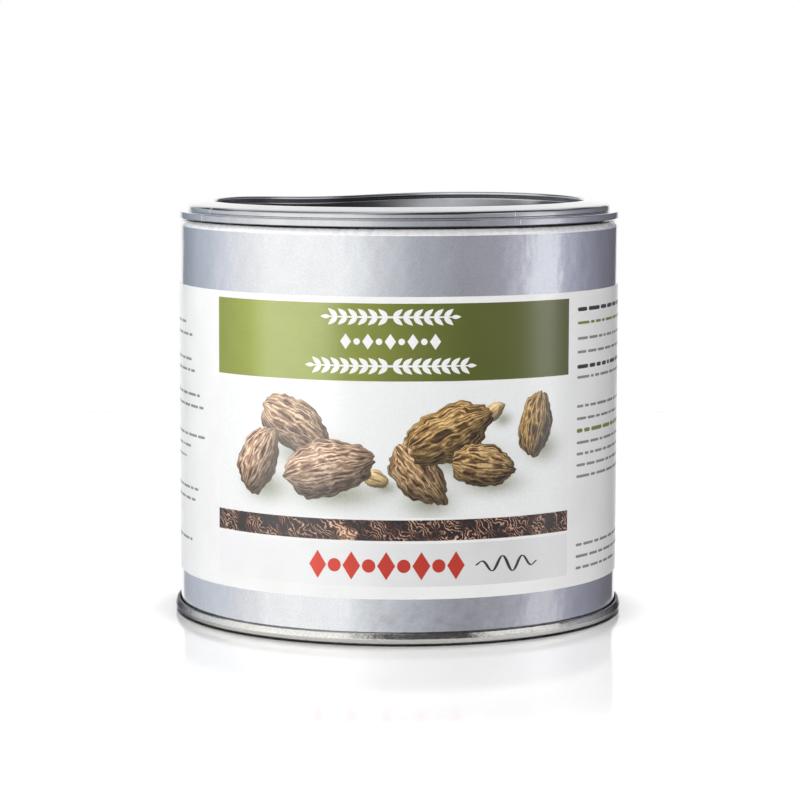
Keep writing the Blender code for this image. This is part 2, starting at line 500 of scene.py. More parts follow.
def picture_ground():
    """Pale ground of the picture, darkened where the pods throw their soft shadows."""
    m = Material("picture_ground", Roughness=0.42, **VARNISH)
    shadow = m.stored("shadow")
    speckle = m.noise(m.place(), 1500, 3.0, 0.6)
    light = m.ramp(speckle, [(0.35, (0.80, 0.81, 0.81)), (0.65, (0.84, 0.85, 0.85))])
    dark = m.ramp(speckle, [(0.35, (0.12, 0.135, 0.05)), (0.65, (0.19, 0.205, 0.09))])
    normal = m.bump(speckle, 0.08, 0.00003)
    return m.finish(m.mix(shadow, light, dark), None, normal)


def pod_picture():
    """Brown wrinkled pods as printed: merging ridges that run lengthwise, with light and shade."""
    m = Material("pod_picture", **VARNISH)
    ribs = m.stored("ribs", "Vector")
    shade = m.stored("shade")
    kind = m.stored("kind")
    bent = m.warped(ribs, 0.55, 4.0, 2.6)
    pits = m.node("TexVoronoi", {"Vector": bent, "Scale": 0.62}, feature="DISTANCE_TO_EDGE")
    ridge = m.remap(pits.outputs["Distance"], 0.0, 0.30, 1.0, 0.0)
    inputs = {"Vector": bent, "Scale": 0.34, "Distortion": 2.4, "Detail": 4.0, "Detail Scale": 1.5}
    wave = m.node("TexWave", inputs, bands_direction="X", wave_profile="SIN").outputs["Fac"]
    crumb = m.noise(ribs, 2.6, 4.0, 0.70)
    relief = m.math("ADD", m.math("MULTIPLY", ridge, 0.42), m.math("MULTIPLY", wave, 0.24))
    relief = m.math("ADD", relief, m.math("MULTIPLY", crumb, 0.48))
    stops = [(0.22, (0.042, 0.020, 0.012)), (0.45, (0.185, 0.100, 0.062))]
    stops += [(0.66, (0.400, 0.255, 0.170)), (0.88, (0.800, 0.620, 0.450))]
    russet = m.ramp(relief, stops)
    stops = [(0.20, (0.020, 0.010, 0.004)), (0.45, (0.095, 0.048, 0.016))]
    stops += [(0.66, (0.290, 0.168, 0.052)), (0.90, (0.720, 0.500, 0.210))]
    ochre = m.ramp(relief, stops)
    pale = m.ramp(relief, [(0.25, (0.250, 0.150, 0.060)), (0.75, (0.780, 0.580, 0.300))])
    tone = m.mix(m.math("MINIMUM", kind, 1.0), russet, ochre)
    tone = m.mix(m.math("MAXIMUM", m.math("SUBTRACT", kind, 1.0), 0.0), tone, pale)
    lit = m.node("CombineColor", {"Red": shade, "Green": shade, "Blue": shade}).outputs["Color"]
    tone = m.mix(1.0, tone, lit, "MULTIPLY")
    return m.finish(tone, 0.42)


def fibre_strip():
    """Printed strip of tangled dark fibres with a few pale ends."""
    m = Material("fibre_strip", **VARNISH)
    flat = m.stored("flat", "Vector")
    bent = m.warped(flat, 0.22, 3.0, 8.0)
    inputs = {"Vector": bent, "Scale": 0.40, "Distortion": 3.0, "Detail": 4.0, "Detail Scale": 1.6}
    wave = m.node("TexWave", inputs, bands_direction="DIAGONAL").outputs["Fac"]
    fibre = m.math("POWER", wave, 2.4)
    crumb = m.noise(flat, 2.2, 3.0, 0.6)
    hollow = m.ramp(m.noise(flat, 0.17, 3.0, 0.5), [(0.36, (0.15, 0.15, 0.15)), (0.52, (1, 1, 1))])
    pale = m.ramp(m.noise(flat, 0.085, 2.0, 0.4), [(0.60, (0, 0, 0)), (0.66, (1, 1, 1))])
    mixed = m.math("MULTIPLY", m.math("MULTIPLY", fibre, hollow), m.span(crumb, 0.35, 1.25))
    mixed = m.math("ADD", mixed, m.math("MULTIPLY", pale, 0.45))
    stops = [(0.04, (0.018, 0.013, 0.015)), (0.30, (0.070, 0.030, 0.022))]
    stops += [(0.62, (0.300, 0.150, 0.090)), (0.95, (0.800, 0.540, 0.380))]
    return m.finish(m.ramp(mixed, stops), 0.42)


# Tube, base and lid

# The laminate's lap down the back: its place, width and step. Small creases in the rolled edge:
# their half width, and the angle and depth of each.
LAP_ANGLE = math.pi
LAP_WIDTH = math.radians(14)
LAP_STEP = 0.08 * MM
CREASE_WIDTH = math.radians(0.4)
CREASE_COUNT = 64
crease_draw = random.Random(SEED)
CREASES = []
for _ in range(CREASE_COUNT):
    CREASES.append((crease_draw.uniform(0, math.tau), crease_draw.uniform(0.10, 0.24) * MM))


def tube_shape(radius, height, angle):
    """Lap of the laminate down the back, and fine creases in the rolled edge."""
    lap = math.remainder(angle - LAP_ANGLE, math.tau)
    if radius > BODY_RADIUS - 0.2 * MM and 0 <= lap < LAP_WIDTH:
        radius += LAP_STEP * (1 - lap / LAP_WIDTH)
    if height > RIM_TOP - CURL_RADIUS:
        for centre, depth in CREASES:
            away = math.remainder(angle - centre, math.tau)
            if abs(away) < CREASE_WIDTH:
                fade = smooth_step(height, RIM_TOP - CURL_RADIUS, RIM_TOP - CURL_RADIUS / 2)
                radius -= depth * fade * (1 - abs(away) / CREASE_WIDTH)
    return radius, height


def make_tube(material):
    """The wall and its rolled edge, whose free end stands inside the tube."""
    inner = BODY_RADIUS - WALL
    centre = (BODY_RADIUS - CURL_RADIUS, RIM_TOP - CURL_RADIUS)

    def on_curl(degrees):
        angle = math.radians(degrees)
        across, up = CURL_RADIUS * math.cos(angle), CURL_RADIUS * math.sin(angle)
        return (centre[0] + across, centre[1] + up)

    outline = [on_curl(90 - 9 * step) for step in range(11)]
    outline += [(BODY_RADIUS, LABEL_TOP), (BODY_RADIUS, LABEL_BOTTOM)]
    outline += [(BODY_RADIUS, TUBE_FOOT), (inner, TUBE_FOOT), (inner, centre[1] - 1.6 * CURL_RADIUS)]
    outline += [on_curl(215 - 15 * step) for step in range(8)]
    return turned("silver_tube", outline, material, even_angles(720), tube_shape)


# The height at which the seam stands out furthest.
SEAM_WIDEST = 1.8 * MM


def base_face(offset):
    """One face of the stamped base, from the axis to the countersink, raised by offset."""
    corners = [(0.0, PANEL_HEIGHT + offset, 0)]
    for centre in sorted(BEAD_RADII):
        for side, rise in ((-0.5, 0), (-0.2, BEAD_RISE), (0.2, BEAD_RISE), (0.5, 0)):
            corners.append((centre + side * BEAD_WIDTH, PANEL_HEIGHT + rise + offset, 0.3 * MM))
    corners.append((PANEL_RADIUS - PLATE, PANEL_HEIGHT + offset, 0.3 * MM))
    corners.append((PANEL_RADIUS + 3 * PLATE, COUNTERSINK + offset, 0.4 * MM))
    return corners


def make_base(material):
    chuck = BODY_RADIUS - WALL - FIT_GAP
    chuck_inner = chuck - PLATE
    seam_inner = BODY_RADIUS + FIT_GAP
    corners = base_face(PLATE)
    corners += [(chuck, COUNTERSINK + PLATE, 0.5 * MM), (chuck, SEAM_FLOOR, 0.2 * MM)]
    corners += [(seam_inner, SEAM_FLOOR, 0.2 * MM), (seam_inner, SEAM_HEIGHT, 0.15 * MM)]
    corners += [(SEAM_RADIUS - 0.50 * MM, SEAM_HEIGHT, 0.35 * MM), (SEAM_RADIUS, SEAM_WIDEST, 0.12 * MM)]
    corners += [(SEAM_RADIUS - 0.24 * MM, 0.65 * MM, 0.3 * MM), (SEAM_RADIUS - 1.1 * MM, 0.0, 0.5 * MM)]
    corners += [(chuck_inner + 0.6 * MM, 0.0, 0.3 * MM), (chuck_inner, 0.6 * MM, 0.3 * MM)]
    corners += [(chuck_inner, COUNTERSINK, 0.5 * MM)]
    corners += base_face(0.0)[::-1]
    return turned("tin_base", rounded(corners), material, even_angles(360), closed=False)


# Fine moulding lines on the lid's outer faces: angle and depth.
LID_MARKS = ((math.radians(-60.1), 0.12 * MM), (math.radians(31.3), 0.14 * MM))
MARK_WIDTH = math.radians(0.15)

# The lid's floor: a small round mark in the middle, and a shallow step down near the edge. The
# recess's wall is hollowed under the ring by the undercut.
CENTRE_MARK_RADIUS = 1.2 * MM
CENTRE_MARK_DEPTH = 0.3 * MM
FLOOR_STEP_RADIUS = 44.0 * MM
FLOOR_STEP_DEPTH = 0.25 * MM
UNDERCUT = 0.75 * MM


def ring_settling(angle):
    """Height change of the raised ring. The angle is 0 at the front and grows to the right."""
    back = angle - math.pi
    change = BULGE_HEIGHT * bell(back, BULGE_AZIMUTH, BULGE_WIDTH)
    change -= DENT_DEPTH * bell(back, DENT_AZIMUTH, DENT_WIDTH)
    return change - RING_LEAN * (1 - math.sin(angle))


def lid_shape(radius, height, angle):
    """The ring's settling, the lid's tilt and the moulding lines."""
    if radius < RING_RADIUS + 0.1 * MM and radius > RECESS_RADIUS - 0.1 * MM:
        follow = smooth_step(height, FLANGE_TOP - 0.1 * MM, RING_SIDE_TOP - LID_WALL)
        height += follow * ring_settling(angle)
    height += LID_TILT * (radius * math.sin(angle) / FLANGE_RADIUS - 1)
    if radius > RING_RADIUS - 0.4 * MM:
        for centre, depth in LID_MARKS:
            away = abs(math.remainder(angle - centre, math.tau))
            if away < MARK_WIDTH:
                radius -= depth * (1 - away / MARK_WIDTH)
    return radius, height


def make_lid(material):
    plug_inner = PLUG_RADIUS - LID_WALL
    under_side = RING_SIDE_TOP - LID_WALL
    under_crest = RING_CREST - LID_WALL
    panel_bottom = RECESS_FLOOR - LID_WALL
    back = RECESS_RADIUS + LID_WALL
    mark_floor = RECESS_FLOOR - CENTRE_MARK_DEPTH
    step_floor = RECESS_FLOOR - FLOOR_STEP_DEPTH
    corners = [
        (0.0, mark_floor, 0),
        (CENTRE_MARK_RADIUS, mark_floor, 0.2 * MM),
        (CENTRE_MARK_RADIUS + 0.4 * MM, RECESS_FLOOR, 0.2 * MM),
        (FLOOR_STEP_RADIUS, RECESS_FLOOR, 0.3 * MM),
        (FLOOR_STEP_RADIUS + 0.5 * MM, step_floor, 0.3 * MM),
        (RECESS_RADIUS - 1.7 * MM, step_floor, 0.9 * MM),
        (RECESS_RADIUS + UNDERCUT, RING_CREST - 1.95 * MM, 0.25 * MM),
        (RECESS_RADIUS, RING_CREST - 0.75 * MM, 0.15 * MM),
        (RECESS_RADIUS + 0.2 * MM, RING_CREST, 0.5 * MM),
        (RECESS_RADIUS + 1.6 * MM, RING_CREST + 0.05 * MM, 0.9 * MM),
        (RING_RADIUS - 0.65 * MM, RING_SIDE_TOP + 0.30 * MM, 0.5 * MM),
        (RING_RADIUS, RING_SIDE_TOP - 0.35 * MM, 0.3 * MM),
        (RING_RADIUS + 0.05 * MM, FLANGE_TOP + 0.35 * MM, 0.1 * MM),
        (RING_RADIUS - 0.15 * MM, FLANGE_TOP + 0.25 * MM, 0.05 * MM),
        (RING_RADIUS - 0.15 * MM, FLANGE_TOP, 0.05 * MM),
        (FLANGE_RADIUS, FLANGE_TOP, 0.35 * MM),
        (FLANGE_RADIUS, FLANGE_BOTTOM, 0.25 * MM),
        (PLUG_RADIUS, FLANGE_BOTTOM, 0.15 * MM),
        (PLUG_RADIUS, PLUG_BOTTOM + 2.0 * MM, 0.5 * MM),
        (PLUG_RADIUS - 0.4 * MM, PLUG_BOTTOM + 2 * LID_TILT, 0.2 * MM),
        (plug_inner - 0.2 * MM, PLUG_BOTTOM + 2 * LID_TILT, 0.2 * MM),
        (plug_inner, FLANGE_BOTTOM, 0.5 * MM),
        (plug_inner, under_side, 0.5 * MM),
        (back, under_crest, 0.5 * MM),
        (back, panel_bottom, 0.6 * MM),
        (0.0, panel_bottom, 0),
    ]
    angles = even_angles(360)
    for centre, _ in LID_MARKS:
        for side in (-1.0, -0.3, 0.0, 0.3, 1.0):
            angles.append((centre + side * MARK_WIDTH) % (math.tau))
    outline = rounded(corners)
    return turned("press_lid", outline, material, sorted(angles), lid_shape, closed=False)


# Label

# The angle by which the label laps over itself, and the thickness of its paper.
OVERLAP = math.radians(5)
PAPER = 0.09 * MM
LABEL_ROWS = 24


def make_label(material):
    """The paper: one strip round the tube, whose end laps over its start at the back."""
    columns = 360
    height = LABEL_TOP - LABEL_BOTTOM
    heights = [LABEL_BOTTOM + height * row / LABEL_ROWS for row in range(LABEL_ROWS + 1)]
    vertices, faces = [], []
    for column in range(columns + 1):
        angle = -math.pi - OVERLAP / 2 + (math.tau + OVERLAP) * column / columns
        lifted = smooth_step(angle, math.pi - 2.2 * OVERLAP, math.pi - 0.7 * OVERLAP)
        outer = LABEL_RADIUS + (PAPER + 0.01 * MM) * lifted
        for radius in (outer, outer - PAPER):
            vertices += [at(radius, angle, z) for z in heights]
    rows = len(heights)
    span = 2 * rows
    for column in range(columns):
        here, there = column * span, (column + 1) * span
        for row in range(rows - 1):
            faces.append([here + row, there + row, there + row + 1, here + row + 1])
            near, far = here + rows + row, there + rows + row
            faces.append([near + 1, far + 1, far, near])
        faces.append([here + rows, there + rows, there, here])
        faces.append([here + rows - 1, there + rows - 1, there + span - 1, here + span - 1])
    last = columns * span
    for row in range(rows - 1):
        faces.append([row, row + 1, rows + row + 1, rows + row])
        faces.append([last + row + 1, last + row, last + rows + row, last + rows + row + 1])
    return mesh_object("paper_label", vertices, faces, material)


# Pods of the picture: centre, half length, half width, tilt in degrees, the layer they lie in, and
# kind: 0 russet, 1 ochre, 2 a pale stub.
PODS = (
    (-39.0, 47.5, 9.5, 6.2, 62, 3, 0.05),
    (-27.5, 56.5, 11.0, 6.6, -28, 3, 0.15),
    (-5.6, 43.4, 3.4, 2.3, -20, 3, 1.9),
    (-18.0, 46.0, 12.5, 7.4, 12, 4, 0.0),
    (5.5, 44.5, 9.8, 6.0, -52, 3, 0.65),
    (25.6, 60.6, 3.3, 2.2, 35, 3, 1.85),
    (14.0, 55.5, 12.0, 7.2, 24, 4, 0.95),
    (23.0, 46.5, 9.0, 5.6, -8, 5, 0.85),
    (38.5, 57.0, 8.6, 5.4, 78, 3, 1.0),
)
# The side that the pictured light comes from.
PICTURE_LIGHT = Vector((-0.42, 0.60, 0.68)).normalized()


def pod_outline(theta, seed):
    """How far a pod's edge swells at an angle, about 1."""
    draw = random.Random(seed)
    swell = 1.0
    for waves in (3, 5, 8, 13, 21, 27):
        height = draw.uniform(0.04, 0.10) / math.sqrt(waves)
        phase = draw.uniform(0, 6.28)
        swell += height * math.sin(waves * theta + phase)
    return swell


def make_pods(material):
    """The pictured pods: flat patches that carry the shade and rib places of a round form."""
    rings, sectors = 14, 96
    vertices, faces, shades, ribs, kinds = [], [], [], [], []
    for number, (s, z, long, wide, tilt, layer, kind) in enumerate(PODS):
        turn = Matrix.Rotation(math.radians(tilt), 2)
        sheet = Print(layer)
        flat, shade, rib = [], [], []
        for ring in range(rings + 1):
            for sector in range(sectors if ring else 1):
                theta = math.tau * sector / sectors
                reach = ring / rings
                u, v = reach * math.cos(theta), reach * math.sin(theta)
                edge = pod_outline(theta, SEED + number)
                local = Vector((u * long * edge, v * wide * edge * (1 - 0.24 * u))) * MM
                spot = turn @ local
                flat.append((s * MM + spot.x, z * MM + spot.y))
                w = math.sqrt(max(0.0, 1 - min(1.0, reach * 0.985) ** 2))
                facing = turn @ Vector((u * wide / long, v))
                normal = Vector((facing.x, facing.y, w)).normalized()
                light = max(0.0, normal.dot(PICTURE_LIGHT))
                shade.append(0.22 + 1.15 * light ** 1.25)
                rib.append((math.atan2(v, w + 0.05) * wide * 0.9, u * long * 0.30, 17.0 * number))
        front = [[0, 1 + sector, 1 + (sector + 1) % sectors] for sector in range(sectors)]
        for ring in range(1, rings):
            first = 1 + (ring - 1) * sectors
            for sector in range(sectors):
                following = (sector + 1) % sectors
                inner = [first + following, first + sector]
                outer = [first + sectors + sector, first + sectors + following]
                front.append(inner + outer)
        sheet.shell(flat, front)
        start = len(vertices)
        vertices += sheet.vertices
        faces += [[start + index for index in face] for face in sheet.faces]
        shades += shade + shade
        ribs += rib + rib
        kinds += [kind] * len(sheet.vertices)
    obj = mesh_object("printed_pods", vertices, faces, material)
    store(obj, "shade", "FLOAT", shades)
    store(obj, "ribs", "FLOAT_VECTOR", ribs)
    store(obj, "kind", "FLOAT", kinds)
    return obj


def pod_shadow(s, z):
    """Depth of the pods' soft shadow at a point of the picture, 0 to 1."""
    clear = 1.0
    for centre_s, centre_z, long, wide, tilt, _, _ in PODS:
        lean = abs(math.sin(math.radians(tilt)))
        half_width = long * (1 - lean) + wide * lean
        half_height = wide * (1 - lean) + long * lean
        across = (s / MM - centre_s - 2.5) / (half_width * 1.15)
        down = (z / MM - centre_z + half_height * 0.80) / (half_height * 0.34 + 0.8)
        clear *= 1 - 0.72 * math.exp(-(across ** 2) * 1.5 - down ** 2)
    return 1 - clear


# The laurel rows of the ornament: sizes of a leaf, its lean from level in degrees, and the stem.
LEAF_PITCH = 2.5 * MM
LEAF_LENGTH = 3.3 * MM
LEAF_WIDTH = 1.35 * MM
LEAF_LEAN = 40
STEM_WIDTH = 0.55 * MM


def leaf(sheet, s, z, length, width, tilt):
    """A pointed leaf from (s, z), leaning by tilt in degrees from level."""
    turn = Matrix.Rotation(math.radians(tilt), 2)
    outline = []
    for side, steps in ((-1, range(0, 7)), (1, range(5, 0, -1))):
        for step in steps:
            t = step / 6
            local = Vector((t * length, side * width / 2 * math.sin(math.pi * t ** 0.8)))
            spot = turn @ local
            outline.append((s + spot.x, z + spot.y))
    sheet.blob(outline)


def laurel(sheet, middle, z, half_width):
    """A level stem with pairs of leaves that point outwards from its middle."""
    steps = 32
    line, widths = [], []
    for step in range(steps + 1):
        t = step / steps
        line.append((middle + half_width * (2 * t - 1), z))
        widths.append(STEM_WIDTH * (0.3 + 0.7 * math.sin(math.pi * t) ** 0.4))
    sheet.ribbon(line, widths)
    pairs = round(half_width / LEAF_PITCH) - 1
    pitch = (half_width - LEAF_LENGTH * 0.5) / pairs
    for side in (-1, 1):
        turn = 90 * (1 - side)
        for index in range(pairs):
            s = middle + side * pitch * (index + 0.25)
            for lean in (LEAF_LEAN, -LEAF_LEAN):
                leaf(sheet, s, z, LEAF_LENGTH, LEAF_WIDTH, turn + lean)
        leaf(sheet, middle + side * pitch * pairs, z, LEAF_LENGTH * 0.8, LEAF_WIDTH * 0.8, turn)


def disc(sheet, s, z, radius, sides=20):
    outline = []
    for index in range(sides):
        angle = math.tau * index / sides
        outline.append((s + radius * math.cos(angle), z + radius * math.sin(angle)))
    sheet.blob(outline)


def lozenge(sheet, s, z, half_width, half_height):
    sheet.blob([(s + half_width, z), (s, z + half_height), (s - half_width, z), (s, z - half_height)])


# Rows of ornament on the label. A laurel has a height and a half width. A frieze has a height, a
# pitch, the discs' radius, and the lozenges' half width and half height.
TOP_LAUREL = (85.2 * MM, 17.4 * MM)
BAND_FRIEZE = (78.9 * MM, 2.9 * MM, 0.85 * MM, 1.45 * MM, 2.05 * MM)
LOW_LAUREL = (72.6 * MM, 21.7 * MM)
RED_CENTRE = -3.0 * MM
RED_FRIEZE = (20.8 * MM, 4.55 * MM, 1.75 * MM, 2.35 * MM, 3.7 * MM)
FRIEZE_COUNT = 9

# The scroll line beside the red frieze: its ends, middle height and swing, and its line widths.
SCROLL_ENDS = (20.5 * MM, 39.0 * MM)
SCROLL_HEIGHT = 20.6 * MM
SCROLL_SWING = 2.1 * MM
SCROLL_HAIRLINE = 0.26 * MM
SCROLL_SWELL = 0.60 * MM
SCROLL_STEPS = 90


def frieze(sheet, middle, z, pitch, radius, half_width, half_height, sides=20):
    """Lozenges and discs by turns in a level row."""
    for index in range(FRIEZE_COUNT):
        s = middle + (index - (FRIEZE_COUNT - 1) / 2) * pitch
        if index % 2:
            disc(sheet, s, z, radius, sides)
        else:
            lozenge(sheet, s, z, half_width, half_height)


def make_band_ornament(material):
    """White ornament in three centred rows on the green band."""
    sheet = Print(2)
    laurel(sheet, PRINT_CENTRE, *TOP_LAUREL)
    frieze(sheet, PRINT_CENTRE, *BAND_FRIEZE)
    laurel(sheet, PRINT_CENTRE, *LOW_LAUREL)
    return sheet.build("printed_band_ornament", material)


def make_red_ornament(material):
    """Bold red frieze of alternating lozenges and discs on the pale foot panel."""
    sheet = Print(2)
    frieze(sheet, RED_CENTRE, *RED_FRIEZE, sides=32)
    return sheet.build("printed_red_ornament", material)


def make_flourish(material):
    """Thin dark scroll line to the right of the red frieze."""
    sheet = Print(2)
    left, right = SCROLL_ENDS
    turns = 6 * math.pi
    line, widths = [], []
    for step in range(SCROLL_STEPS + 1):
        t = step / SCROLL_STEPS
        arch = math.sin(math.pi * t)
        swing = SCROLL_SWING * arch ** 0.6 * math.sin(turns * t)
        line.append((left + (right - left) * t, SCROLL_HEIGHT + swing))
        widths.append(SCROLL_HAIRLINE + SCROLL_SWELL * abs(math.cos(turns * t)) * arch ** 0.5)
    sheet.ribbon(line, widths)
    return sheet.build("printed_flourish", material)


# Rows of word-like bars in place of the small print. A column is (left, right, rows), and a row
# is (height, weight, colour). Places and word lengths are in millimetres.
SMALL = 0.72 * MM
BOLD = 1.05 * MM


def plain_rows(*heights):
    return tuple((height, SMALL, "grey") for height in heights)


RIGHT_ROWS = (
    (85.6, BOLD, "dark"), (82.0, SMALL, "green"), *plain_rows(77.9, 74.3),
    (70.4, BOLD, "dark"), *plain_rows(67.6, 59.9, 56.6),
    (53.4, BOLD, "green"), *plain_rows(50.2, 47.2, 44.2, 41.2, 22.9, 19.8, 16.7),
)
LEFT_ROWS = plain_rows(80.6, 77.4, 70.8, 67.8, 61.4, 58.3, 50.4, 47.3, 44.2, 36.0, 33.0, 22.0)
TEXT_COLUMNS = (
    (54.2, 98.0, RIGHT_ROWS),
    (103.0, 147.0, LEFT_ROWS),
    (-104.0, -60.2, LEFT_ROWS),
    (-152.0, -110.0, RIGHT_ROWS),
)
WORD_LENGTHS = (1.6, 6.8)
SHORTEST_WORD = 1.0
WORD_GAP = 0.8


def make_text(materials):
    """Rows of word-like bars in the places of the small print."""
    draw = random.Random(SEED)
    sheets = {colour: Print(1) for colour in materials}
    for left, right, rows in TEXT_COLUMNS:
        for height, weight, colour in rows:
            end = left + (right - left) * draw.uniform(0.62, 1.0)
            s = left
            while s < end - SHORTEST_WORD:
                word = min(draw.uniform(*WORD_LENGTHS), end - s)
                if word > SHORTEST_WORD:
                    sheets[colour].bar(s * MM, (s + word) * MM, height * MM, weight)
                s += word + WORD_GAP
    pieces = []
    for colour, sheet in sheets.items():
        pieces.append(sheet.build("printed_rows_" + colour, materials[colour]))
    return pieces


# Painted light and shade on printed tints, fading along X away from the key light on the left: place in
# millimetres and share of the tint.
BAND_PAINTED_SHADE = (
    (-46, 0.77), (-36, 1.0), (-20, 0.92), (-10, 0.70), (0, 0.51), (10.6, 0.365), (17, 0.31),
    (27, 0.29), (36.5, 0.30), (43.5, 0.24),
)
RED_PAINTED_SHADE = ((-24, 1.0), (-12, 0.84), (4, 0.68), (16, 0.66))
FOOT_PAINTED_SHADE = ((-50, 1.0), (-10, 0.98), (10, 0.86), (31, 0.81), (42, 0.93))


# The white gap above and below the picture.
PICTURE_GAP = 0.6 * MM


def make_front_print(white, green, foot_grey):
    """Green band, picture, dark strip and pale foot of the front panel."""
    ends = (PANEL_LEFT, PANEL_RIGHT)
    band, _ = panel("printed_green_band", *ends, BAND_BOTTOM, BAND_TOP, 1, green)
    low, high = STRIP_TOP + PICTURE_GAP, BAND_BOTTOM - PICTURE_GAP
    picture, flat = panel("printed_picture_ground", *ends, low, high, 1, picture_ground(), 0.8 * MM)
    store(picture, "shadow", "FLOAT", [pod_shadow(s, z) for s, z in flat])
    strip, flat = panel("printed_dark_strip", *ends, STRIP_BOTTOM, STRIP_TOP, 1, fibre_strip())
    store(strip, "flat", "FLOAT_VECTOR", [(s / MM, z / MM, 0.0) for s, z in flat])
    foot, _ = panel("printed_foot_panel", *ends, FOOT_BOTTOM, FOOT_TOP, 1, foot_grey)
    return [band, picture, strip, foot, make_pods(pod_picture()), make_band_ornament(white)]


def make_object():
    tube = make_tube(silver_board())
    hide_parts("can_tube")
    base = make_base(tinplate())
    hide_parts("base_end")
    lid = make_lid(lid_plastic())
    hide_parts("lid")
    label = make_label(coated_print("label_paper", (0.80, 0.80, 0.795), (0.86, 0.86, 0.855)))
    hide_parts("label")
    white = coated_print("white_ink", (0.80, 0.80, 0.79), (0.87, 0.87, 0.86))
    green = coated_print("green_ink", (0.265, 0.310, 0.042), (0.310, 0.355, 0.054), BAND_PAINTED_SHADE)
    foot_grey = coated_print("foot_grey", (0.79, 0.79, 0.80), (0.84, 0.84, 0.85), FOOT_PAINTED_SHADE)
    red = coated_print("red_ink", (0.64, 0.042, 0.022), (0.74, 0.058, 0.030), RED_PAINTED_SHADE)
    dark = coated_print("dark_ink", (0.020, 0.020, 0.020), (0.040, 0.040, 0.038))
    grey = coated_print("grey_ink", (0.20, 0.20, 0.21), (0.29, 0.29, 0.30))
    leaf_green = coated_print("leaf_green_ink", (0.15, 0.20, 0.03), (0.20, 0.26, 0.05))
    prints = make_front_print(white, green, foot_grey)
    prints.append(make_red_ornament(red))
    prints.append(make_flourish(dark))
    prints += make_text({"grey": grey, "dark": dark, "green": leaf_green})
    for piece in [tube, base, lid, label, *prints]:
        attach(piece, "root")
    return [tube, base, lid], [label, *prints]


# Stage

# The floor: its radius, its gloss beside the can, the colour in which the can sees the studio
# mirrored in it, and the distances from the axis over which gloss and plain floor fade out.
FLOOR_RADIUS = 0.5
FLOOR_GLOSS = 0.66
FLOOR_MIRROR = (1.0, 1.0, 1.0, 1.0)
GLOSS_FADE = (65 * MM, 156 * MM)
PLAIN_FADE = (67 * MM, 72 * MM)


def make_floor():
    """A round white sheet with a soft gloss near the can. To all but the camera it is a mirror of
    the studio, apart from the part close to the can's foot."""
    m = Material("pale_floor", Roughness=0.10, IOR=1.5)
    speckle = m.noise(m.place(), 300, 2.0)
    colour = m.ramp(speckle, [(0.3, (0.84, 0.84, 0.84)), (0.7, (0.85, 0.85, 0.85))])
    away = m.length(m.place())
    gloss = m.remap(away, *GLOSS_FADE, FLOOR_GLOSS, 0.0)
    m.put(m.shader.inputs["Specular IOR Level"], gloss)
    material = m.finish(colour)
    mirror = m.node("BsdfPrincipled", {"Base Color": FLOOR_MIRROR, "Metallic": 1.0, "Roughness": 0.1})
    near = m.remap(away, *PLAIN_FADE, 1.0, 0.0)
    direct = m.math("MAXIMUM", m.node("LightPath").outputs["Is Camera Ray"], near)
    both = m.node("MixShader", {0: direct, 1: mirror.outputs[0], 2: m.shader.outputs[0]})
    output = m.tree.nodes["Material Output"]
    m.put(output.inputs["Surface"], both.outputs[0])
    count = 128
    rim = [(FLOOR_RADIUS * math.cos(a), FLOOR_RADIUS * math.sin(a), 0.0) for a in even_angles(count)]
    floor = mesh_object("studio_floor", rim, [list(range(count))], material)
    return floor


# The height on the can's axis that every light points at.
LIGHT_AIM = 55 * MM


def area_light(name, azimuth, distance, height, size, watts, receivers, gloss=False):
    """A softbox for some of the objects. Azimuth is 0 towards the camera, growing to the right."""
    light = bpy.data.lights.new(name, "AREA")
    light.shape = "RECTANGLE"
    light.size, light.size_y = size
    light.energy = watts
    obj = bpy.data.objects.new(name, light)
    obj.location = at(distance, math.radians(azimuth), height)
    toward = Vector((0, 0, LIGHT_AIM)) - obj.location
    obj.rotation_euler = toward.to_track_quat("-Z", "Y").to_euler()
    obj.visible_camera = False
    obj.visible_glossy = gloss
    bpy.context.scene.collection.objects.link(obj)
    lit = bpy.data.collections.new(name + "_receivers")
    for receiver in receivers:
        lit.objects.link(receiver)
    obj.light_linking.receiver_collection = lit


# The studio round the can: azimuth in degrees from the camera, growing to the right, the light from
# there at the horizon and below, and the light from a little above it, which the foot of the can
# mirrors by way of the floor. A single number is a grey.
STUDIO = (
    (-180, 0.42, 0.42),
    (-159, 0.42, 0.42),
    (-155.5, (0.105, 0.115, 0.130), (0.170, 0.178, 0.198)),
    (-144, (0.152, 0.170, 0.197), (0.225, 0.240, 0.268)),
    (-123, (0.257, 0.285, 0.313), (0.310, 0.330, 0.358)),
    (-100, (0.41, 0.42, 0.44), (0.39, 0.40, 0.42)),
    (-88, 0.50, 0.45),
    (-67, (0.585, 0.585, 0.565), (0.585, 0.585, 0.565)),
    (-32, (0.580, 0.580, 0.560), (0.570, 0.570, 0.555)),
    (-21, (0.51, 0.52, 0.51), (0.50, 0.51, 0.50)),
    (-9, (0.38, 0.38, 0.39), (0.38, 0.38, 0.39)),
    (8, (0.255, 0.260, 0.275), (0.280, 0.283, 0.300)),
    (34, (0.180, 0.180, 0.190), (0.200, 0.200, 0.213)),
    (54, (0.205, 0.202, 0.222), (0.178, 0.176, 0.192)),
    (68, (0.30, 0.30, 0.33), (0.232, 0.232, 0.256)),
    (73, (0.46, 0.46, 0.48), (0.330, 0.330, 0.346)),
    (90, (0.46, 0.46, 0.48), (0.340, 0.340, 0.356)),
    (94, (0.28, 0.28, 0.32), (0.234, 0.234, 0.266)),
    (112, (0.155, 0.158, 0.190), (0.158, 0.158, 0.188)),
    (132, (0.100, 0.100, 0.120), (0.098, 0.096, 0.112)),
    (158, (0.050, 0.048, 0.056), (0.045, 0.043, 0.050)),
    (163, 0.42, 0.42),
)
